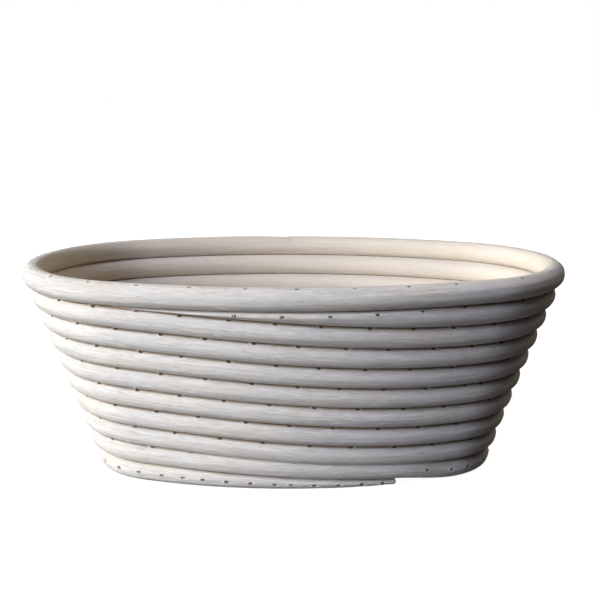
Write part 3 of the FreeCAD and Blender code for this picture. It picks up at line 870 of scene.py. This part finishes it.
    def add_fibre(self, place, angle, length, lift, width, way):
        """A loose fibre: a thin tapering blade that leaves the skin along the cane."""
        before = None
        for index in range(FIBRE_STEPS):
            share = index / (FIBRE_STEPS - 1)
            here = place + way * length * share
            rise = lift * share**1.7 - FIBRE_ROOT
            half = width * (1 - share) ** 0.7 / 2 + FIBRE_TIP
            sway = 0.35 * length * share**2 * (lift / (lift + length))
            corner_angles = angle + (np.array([-1.0, 1.0, 0.0]) * half + sway) / CANE_RADIUS
            depths = np.array([0.0, 0.0, -1.2 * half]) - rise
            now = self.add_points(np.full(3, here), corner_angles, depths, FIBRE_STAIN)
            if before is None:
                self.add_face(now if way > 0 else now[::-1])
            else:
                for corner in range(3):
                    after = (corner + 1) % 3
                    corners = [before[corner], now[corner], now[after], before[after]]
                    self.add_face(corners if way > 0 else corners[::-1])
            before = now
        self.add_face(before[::-1] if way > 0 else before)

    def add_fibres(self, per_metre):
        """Loose fibres scattered along the cane's outer side."""
        draw = self.random.uniform
        for _ in range(round(per_metre * self.line.length)):
            place = draw(*FIBRE_ENDS_CLEAR) * self.line.length
            angle = draw(*FIBRE_ANGLES)
            ranges = SHORT_FIBRE if draw(0, 1) < SHORT_FIBRE_SHARE else LONG_FIBRE
            length, lift, width = [draw(*limits) * MM for limits in ranges]
            self.add_fibre(place, angle, length, lift, width, self.random.choice((-1, 1)))

    def to_object(self, name, materials):
        mesh = bpy.data.meshes.new(name)
        mesh.from_pydata([tuple(point) for point in self.points], [], self.faces)
        grain = mesh.attributes.new("grain", "FLOAT_VECTOR", "POINT")
        grain.data.foreach_set("vector", np.array(self.grain, np.float32).ravel())
        stain = mesh.attributes.new("stain", "FLOAT", "POINT")
        stain.data.foreach_set("value", np.array(self.stain, np.float32))
        mesh.polygons.foreach_set("material_index", np.array(self.face_kinds, np.int32))
        for material in materials:
            mesh.materials.append(material)
        smoothed(mesh, 38)
        mesh.validate()
        mesh.update()
        return linked(name, mesh)


# ---------------------------------------------------------------- pin meshes

# a wire nail's outline from its head down: radius and distance along it
NAIL_HEAD = (
    (0.24 * MM, 0.00),
    (0.50 * MM, 0.04 * MM),
    (0.68 * MM, 0.14 * MM),
    (0.72 * MM, 0.28 * MM),
    (0.66 * MM, 0.40 * MM),
    (0.50 * MM, 0.48 * MM),
)
NAIL_RADIUS = 0.50 * MM
NAIL_SUNK = 0.32 * MM
NAIL_SIDES = 14
NAIL_POINT = 1.1 * MM
NAIL_TIP_RADIUS = 0.08 * MM
HEAD_CROWN = 0.02 * MM
TIP_CROWN = 0.1 * MM


def build_pins(name, pins, material):
    """One mesh with every nail of a CAD node."""
    points = []
    faces = []
    for number, pin in enumerate(pins):
        outline = list(NAIL_HEAD)
        sunk = NAIL_SUNK if pin.sunk else 0.0
        outline.append((NAIL_RADIUS, pin.length - sunk - NAIL_POINT))
        outline.append((NAIL_TIP_RADIUS, pin.length - sunk))
        side = np.cross(pin.way, [0.31, 0.52, 0.79])
        side /= np.linalg.norm(side)
        other = np.cross(pin.way, side)
        start = pin.head + pin.way * sunk
        first = len(points)
        around = np.arange(NAIL_SIDES) * TURN / NAIL_SIDES + number
        for radius, drop in outline:
            ring = radius * (np.cos(around)[:, None] * side + np.sin(around)[:, None] * other)
            points.extend(start + pin.way * drop + ring)
        for row in range(len(outline) - 1):
            for column in range(NAIL_SIDES):
                beside = (column + 1) % NAIL_SIDES
                low = first + row * NAIL_SIDES
                high = low + NAIL_SIDES
                faces.append([low + column, low + beside, high + beside, high + column])
        top = len(points)
        points.append(start - pin.way * HEAD_CROWN)
        points.append(start + pin.way * (outline[-1][1] + TIP_CROWN))
        bottom_row = first + (len(outline) - 1) * NAIL_SIDES
        for column in range(NAIL_SIDES):
            beside = (column + 1) % NAIL_SIDES
            faces.append([first + beside, first + column, top])
            faces.append([bottom_row + column, bottom_row + beside, top + 1])
    mesh = bpy.data.meshes.new(name)
    mesh.from_pydata([tuple(point) for point in points], [], faces)
    smoothed(mesh, 50)
    mesh.materials.append(material)
    mesh.update()
    return linked(name, mesh)


# ---------------------------------------------------------------- materials


class Nodes:
    """A short way to write a material's node tree."""

    def __init__(self, name):
        self.material = bpy.data.materials.new(name)
        self.material.use_nodes = True
        self.tree = self.material.node_tree
        self.shader = self.tree.nodes["Principled BSDF"]

    def add(self, kind, inputs=None, **settings):
        node = self.tree.nodes.new(kind)
        for key, value in settings.items():
            setattr(node, key, value)
        for key, value in (inputs or {}).items():
            self.put(node.inputs[key], value)
        return node

    def put(self, socket, value):
        if isinstance(value, bpy.types.NodeSocket):
            self.tree.links.new(value, socket)
        else:
            socket.default_value = value

    def attribute(self, name, output):
        return self.add("ShaderNodeAttribute", attribute_name=name).outputs[output]

    def stretched(self, vector, along, across):
        """Coordinates in which one unit is along by across of the real surface."""
        scale = (1 / along, 1 / across, 1 / across)
        return self.add(
            "ShaderNodeMapping", {"Vector": vector, "Scale": scale}, vector_type="POINT"
        ).outputs[0]

    def noise(self, vector, detail=2.0, roughness=0.5, distortion=0.0):
        inputs = {"Vector": vector, "Scale": 1.0, "Detail": detail}
        inputs |= {"Roughness": roughness, "Distortion": distortion}
        return self.add("ShaderNodeTexNoise", inputs).outputs["Fac"]

    def spread(self, value, low, high, out_low=0.0, out_high=1.0):
        """Maps low..high onto out_low..out_high, and no further."""
        inputs = {"Value": value, "From Min": low, "From Max": high}
        inputs |= {"To Min": out_low, "To Max": out_high}
        return self.add("ShaderNodeMapRange", inputs).outputs[0]

    def math(self, operation, first, second=0.0):
        node = self.add("ShaderNodeMath", operation=operation)
        self.put(node.inputs[0], first)
        self.put(node.inputs[1], second)
        return node.outputs[0]

    def blend(self, share, first, second):
        node = self.add("ShaderNodeMix", data_type="RGBA")
        self.put(node.inputs["Factor"], share)
        self.put(node.inputs["A"], first)
        self.put(node.inputs["B"], second)
        return node.outputs["Result"]


def colour(red, green, blue):
    return (red, green, blue, 1.0)


def rattan(name, tint, end_grain=False, groove=(0.0, 0.0), below_only=False):
    """Peeled rattan cane: pale, matte, with long fine fibres, a painted brown shade where it meets
    a neighbour and a painted warm shade on its inner side.

    The groove is the way to the neighbour round the section, as its part outward and upward.
    """
    nodes = Nodes(name)
    grain = nodes.attribute("grain", "Vector")
    stain = nodes.attribute("stain", "Fac")
    fine = nodes.noise(nodes.stretched(grain, 5 * MM, 0.34 * MM), 2.0, 0.6)
    streak = nodes.noise(nodes.stretched(grain, 12 * MM, 0.62 * MM), 3.0, 0.62, 0.3)
    broad = nodes.noise(nodes.stretched(grain, 60 * MM, 1.7 * MM), 3.0, 0.55)
    patches = nodes.noise(nodes.stretched(grain, 38 * MM, 9 * MM), 3.0, 0.55)
    scratch = nodes.noise(nodes.stretched(grain, 6 * MM, 0.28 * MM), 1.0, 0.5)
    pale = colour(*tint)
    darker = colour(tint[0] * 0.74, tint[1] * 0.71, tint[2] * 0.66)
    warm = colour(tint[0] * 0.96, tint[1] * 0.90, tint[2] * 0.80)
    grey = colour(tint[0] * 0.86, tint[1] * 0.87, tint[2] * 0.91)
    light = colour(
        min(tint[0] * 1.08, 0.92), min(tint[1] * 1.10, 0.91), min(tint[2] * 1.14, 0.89)
    )
    base = pale
    # each layer: its pattern, where the pattern starts and is full, its share there, its colour
    for pattern, starts, full, share, shade in (
        (patches, 0.40, 0.66, 1.0, grey),
        (patches, 0.44, 0.28, 0.8, warm),
        (broad, 0.46, 0.72, 0.60, darker),
        (streak, 0.52, 0.72, 0.85, light),
        (streak, 0.47, 0.28, 0.75, darker),
        (fine, 0.50, 0.28, 0.70, darker),
        (fine, 0.55, 0.75, 0.50, light),
        (scratch, 0.69, 0.80, 0.55, colour(0.30, 0.21, 0.13)),
    ):
        base = nodes.blend(nodes.spread(pattern, starts, full, 0.0, share), base, shade)
    sides = nodes.add("ShaderNodeSeparateXYZ", {"Vector": grain})
    outside = nodes.math("MULTIPLY", sides.outputs["Y"], 1 / CANE_RADIUS)
    above = nodes.math("MULTIPLY", sides.outputs["Z"], 1 / CANE_RADIUS)
    # painted shade: a warmer, darker tint on the cane's inner side, standing in for light bounced
    # inside the basket
    inner = colour(tint[0] * 0.90, tint[1] * 0.83, tint[2] * 0.74)
    base = nodes.blend(nodes.spread(outside, 0.05, -0.35, 0.0, 0.75), base, inner)
    # painted shade: brown darkening in the groove where a cane meets its neighbour
    if groove != (0.0, 0.0):
        towards = nodes.math("MULTIPLY", outside, groove[0])
        towards = nodes.math("ADD", towards, nodes.math("MULTIPLY", above, groove[1]))
        if below_only:
            towards = nodes.math("MULTIPLY", towards, -1.0)
        else:
            towards = nodes.math("ABSOLUTE", towards)
        ragged = nodes.math("MULTIPLY", nodes.math("SUBTRACT", patches, 0.5), 0.05)
        towards = nodes.math("ADD", towards, ragged)
        groove_shade_share = nodes.spread(towards, 0.885, 0.975, 0.0, 0.9)
        # the painted groove shade is weaker on the inside than on the outside
        facing_out = nodes.math("MULTIPLY", outside, groove[1])
        facing_out = nodes.math("SUBTRACT", facing_out, nodes.math("MULTIPLY", above, groove[0]))
        lighter_inside = nodes.spread(facing_out, -0.12, 0.05, 0.25, 1.0)
        groove_shade_share = nodes.math("MULTIPLY", groove_shade_share, lighter_inside)
        base = nodes.blend(groove_shade_share, base, colour(*PAINTED_GROOVE_BROWN))
    rust = colour(0.10, 0.06, 0.035)
    speckle = nodes.noise(nodes.stretched(grain, 1.2 * MM, 0.6 * MM), 2.0, 0.6)
    around_nail = nodes.math("MULTIPLY", stain, nodes.spread(speckle, 0.3, 0.7, 0.45, 1.0))
    base = nodes.blend(nodes.spread(around_nail, 0.1, 1.1, 0.0, 0.85), base, rust)
    raised = colour(0.90, 0.87, 0.79)
    base = nodes.blend(nodes.spread(stain, -0.1, -0.6), base, raised)
    if end_grain:
        place = nodes.add("ShaderNodeNewGeometry").outputs["Position"]
        cells = nodes.stretched(place, 0.42 * MM, 0.42 * MM)
        cell = nodes.add("ShaderNodeTexVoronoi", {"Vector": cells, "Scale": 1.0})
        pore = nodes.spread(cell.outputs["Distance"], 0.16, 0.30, 0.7, 0.0)
        base = nodes.blend(pore, base, colour(0.24, 0.17, 0.11))
    nodes.put(nodes.shader.inputs["Base Color"], base)
    rough = nodes.spread(fine, 0.3, 0.75, 0.86, 0.62)
    nodes.put(nodes.shader.inputs["Roughness"], rough)
    nodes.shader.inputs["Specular IOR Level"].default_value = 0.32
    ridge = nodes.math("ADD", streak, nodes.math("MULTIPLY", fine, 0.4))
    ridge = nodes.math("ADD", ridge, nodes.math("MULTIPLY", broad, 1.1))
    ridge = nodes.math("SUBTRACT", ridge, nodes.spread(scratch, 0.66, 0.80, 0.0, 0.5))
    bump = nodes.add("ShaderNodeBump", {"Height": ridge, "Strength": 0.8, "Distance": 0.3 * MM})
    nodes.put(nodes.shader.inputs["Normal"], bump.outputs[0])
    return nodes.material


def nail_steel():
    """Dull steel wire with brown oxide."""
    nodes = Nodes("nail_steel")
    place = nodes.add("ShaderNodeNewGeometry").outputs["Position"]
    blotch = nodes.noise(nodes.stretched(place, 0.7 * MM, 0.7 * MM), 3.0, 0.6)
    drift = nodes.noise(nodes.stretched(place, 30 * MM, 30 * MM), 1.0, 0.5)
    rusted = nodes.spread(nodes.math("ADD", blotch, drift), 0.85, 1.2)
    steel = colour(0.30, 0.28, 0.26)
    oxide = colour(0.14, 0.09, 0.06)
    nodes.put(nodes.shader.inputs["Base Color"], nodes.blend(rusted, steel, oxide))
    nodes.put(nodes.shader.inputs["Metallic"], nodes.spread(rusted, 0.0, 1.0, 0.85, 0.1))
    nodes.put(nodes.shader.inputs["Roughness"], nodes.spread(rusted, 0.0, 1.0, 0.42, 0.85))
    bump = nodes.add(
        "ShaderNodeBump", {"Height": blotch, "Strength": 0.4, "Distance": 0.08 * MM}
    )
    nodes.put(nodes.shader.inputs["Normal"], bump.outputs[0])
    return nodes.material


# ---------------------------------------------------------------- the basket

CANE_TINT = (0.82, 0.785, 0.72)
# the colour of the painted shade in the grooves between canes
PAINTED_GROOVE_BROWN = (0.33, 0.21, 0.13)
# the way to the neighbour round a cane's section, as its part outward and upward
WALL_GROOVE = (math.cos(WALL_CONTACTS[1]), math.sin(WALL_CONTACTS[1]))
BASE_GROOVE = (1.0, 0.0)
rim_skin = rattan("rim_rattan", CANE_TINT, groove=WALL_GROOVE, below_only=True)
wall_skin = rattan("wall_rattan", CANE_TINT, groove=WALL_GROOVE)
base_skin = rattan("base_rattan", CANE_TINT, groove=BASE_GROOVE)
SKINS = {"rattan_rim": rim_skin, "rattan_wall": wall_skin, "rattan_base": base_skin}
cane_end = rattan("rattan_end_grain", (0.70, 0.63, 0.52), end_grain=True)
steel = nail_steel()


def whittle(points):
    """The core cane's wedge-shaped ends."""
    wide, narrow = core_reach()
    reach = np.abs(points[..., 0] - SIDE_X)
    share = np.clip((reach - wide) / (narrow - wide), 0, 1)
    half = CANE_RADIUS + share * (TIP_HALF_WIDTH - CANE_RADIUS)
    points[..., 1] = np.clip(points[..., 1], -half, half)
    return points


def planed(side):
    """Keeps a bowed cane on its own side of the middle."""

    def trim(points):
        if side > 0:
            points[..., 1] = np.maximum(points[..., 1], CANE_GAP / 2)
        else:
            points[..., 1] = np.minimum(points[..., 1], -CANE_GAP / 2)
        return points

    return trim


BASE_CONTACTS = (0.0, math.pi)
LOWER_CONTACTS = WALL_CONTACTS + (math.pi,)
SCARF_SLANT = SCARF_LENGTH / (2 * 1.2 * CANE_RADIUS)
# how much thinner the rim is where it starts, which leaves a notch at its joint
SCARF_NOTCH = 0.45 * MM

canes = {
    "rim_cane": [
        Cane(rim_line(), 11, contacts=WALL_CONTACTS[:1], slant=SCARF_SLANT, worn=SCARF_NOTCH)
    ],
    "wall_cane_upper": [Cane(wall_upper_line(), 23, wear=(0.2 * MM, 0.03 * MM), butt=1)],
    "wall_cane_lower": [
        Cane(wall_lower_line(), 37, LOWER_CONTACTS, wear=(0.03 * MM, 1.3 * MM), butt=0)
    ],
    "base_cane": [Cane(base_line(), 41, contacts=BASE_CONTACTS)],
    "base_middle_canes": [
        Cane(bow_line(1), 53, contacts=BASE_CONTACTS, trim=planed(1)),
        Cane(bow_line(-1), 59, contacts=BASE_CONTACTS, trim=planed(-1)),
    ],
    "base_core_cane": [Cane(core_line(), 67, contacts=BASE_CONTACTS, trim=whittle)],
}
# a cane's slot is named after its part of the basket: rattan_rim, rattan_wall or rattan_base
SLOTS = {node: "rattan_" + node.split("_")[0] for node in canes}

pins_by_node = all_pins()
all_canes = [cane for group in canes.values() for cane in group]
for pins in pins_by_node.values():
    for pin in pins:
        if pin.sunk:
            owner = min(all_canes, key=lambda cane: cane.line.nearest(pin.middle)[1])
            owner.take_pin(pin)

for node, group in canes.items():
    for number, cane in enumerate(group):
        cane.add_fibres(FIBRES_PER_METRE.get(node, OTHER_FIBRES_PER_METRE))
        name = node if len(group) == 1 else f"{node}_{number + 1}"
        piece = cane.build("visual_" + name, [SKINS[SLOTS[node]], cane_end])
        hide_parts(node)
        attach(piece, "root")

for node, pins in pins_by_node.items():
    piece = build_pins("visual_" + node, pins, steel)
    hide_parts(node)
    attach(piece, "root")


# ---------------------------------------------------------------- floor, light and camera


FLOOR_HALF = 6.0
FLOOR_DROP = 0.2 * MM


def floor_material():
    nodes = Nodes("pale_floor")
    place = nodes.add("ShaderNodeNewGeometry").outputs["Position"]
    cloud = nodes.noise(nodes.stretched(place, 0.4, 0.4), 2.0, 0.5)
    tone = nodes.blend(cloud, colour(0.34, 0.34, 0.34), colour(0.36, 0.36, 0.36))
    nodes.put(nodes.shader.inputs["Base Color"], tone)
    nodes.shader.inputs["Roughness"].default_value = 0.9
    nodes.shader.inputs["Specular IOR Level"].default_value = 0.1
    nodes.shader.inputs["Emission Color"].default_value = colour(1.0, 1.0, 1.0)
    nodes.shader.inputs["Emission Strength"].default_value = 0.93
    return nodes.material


def add_floor():
    half = FLOOR_HALF
    mesh = bpy.data.meshes.new("floor")
    corners = [(-half, -half), (half, -half), (half, half), (-half, half)]
    mesh.from_pydata([(x, y, -FLOOR_DROP) for x, y in corners], [], [(0, 1, 2, 3)])
    mesh.materials.append(floor_material())
    floor = linked("floor", mesh)
    floor.visible_diffuse = False
    floor.visible_glossy = False
    floor.visible_shadow = False


def add_sun(name, azimuth, elevation, softness, strength, tone):
    """Soft light from azimuth, in degrees from the left end towards the front, and elevation."""
    turn = math.radians(azimuth)
    rise = math.radians(elevation)
    source = Vector(
        (-math.cos(turn) * math.cos(rise), -math.sin(turn) * math.cos(rise), math.sin(rise))
    )
    data = bpy.data.lights.new(name, "SUN")
    data.energy = strength
    data.angle = math.radians(softness)
    data.color = tone
    light = linked(name, data)
    light.rotation_mode = "QUATERNION"
    light.rotation_quaternion = (-source).to_track_quat("-Z", "Y")
    light.location = source


def add_world():
    world = bpy.data.worlds.new("studio")
    world.use_nodes = True
    tree = world.node_tree
    fill = tree.nodes["Background"]
    fill.inputs["Color"].default_value = (1.0, 0.90, 0.84, 1.0)
    fill.inputs["Strength"].default_value = 0.032
    white = tree.nodes.new("ShaderNodeBackground")
    white.inputs["Color"].default_value = (1.0, 1.0, 1.0, 1.0)
    white.inputs["Strength"].default_value = 1.0
    path = tree.nodes.new("ShaderNodeLightPath")
    mix = tree.nodes.new("ShaderNodeMixShader")
    tree.links.new(path.outputs["Is Camera Ray"], mix.inputs[0])
    tree.links.new(fill.outputs[0], mix.inputs[1])
    tree.links.new(white.outputs[0], mix.inputs[2])
    tree.links.new(mix.outputs[0], tree.nodes["World Output"].inputs["Surface"])
    bpy.context.scene.world = world


# each sun's azimuth, elevation and softness in degrees, its strength and its colour
SUNS = {
    "window": (24, 16, 32, 2.38, (1.0, 0.98, 0.78)),
    "sky": (42, 27, 32, 2.7, (0.70, 0.75, 1.0)),
    "bounce": (20, -50, 50, 0.42, (0.86, 0.88, 1.0)),
    "behind": (-55, 22, 50, 0.7, (1.0, 0.99, 0.97)),
    "inside": (-150, 50, 40, 0.62, (1.0, 0.88, 0.78)),
}

# place and lens as fitted to the photograph's perspective, angles in radians
CAMERA_PLACE = (8.1 * MM, -500.8 * MM, 178.1 * MM)
CAMERA_PITCH = 0.199
CAMERA_HEADING = 0.010
CAMERA_LENS = 65.3


def add_camera():
    data = bpy.data.cameras.new("camera")
    data.lens = CAMERA_LENS
    data.sensor_width = 36.0
    data.clip_start = 0.01
    data.clip_end = 50.0
    camera = linked("camera", data)
    camera.location = CAMERA_PLACE
    camera.rotation_euler = (math.pi / 2 - CAMERA_PITCH, 0.0, CAMERA_HEADING)
    bpy.context.scene.camera = camera


bpy.context.scene.view_settings.view_transform = "Standard"
add_floor()
add_world()
for name, settings in SUNS.items():
    add_sun(name, *settings)
add_camera()
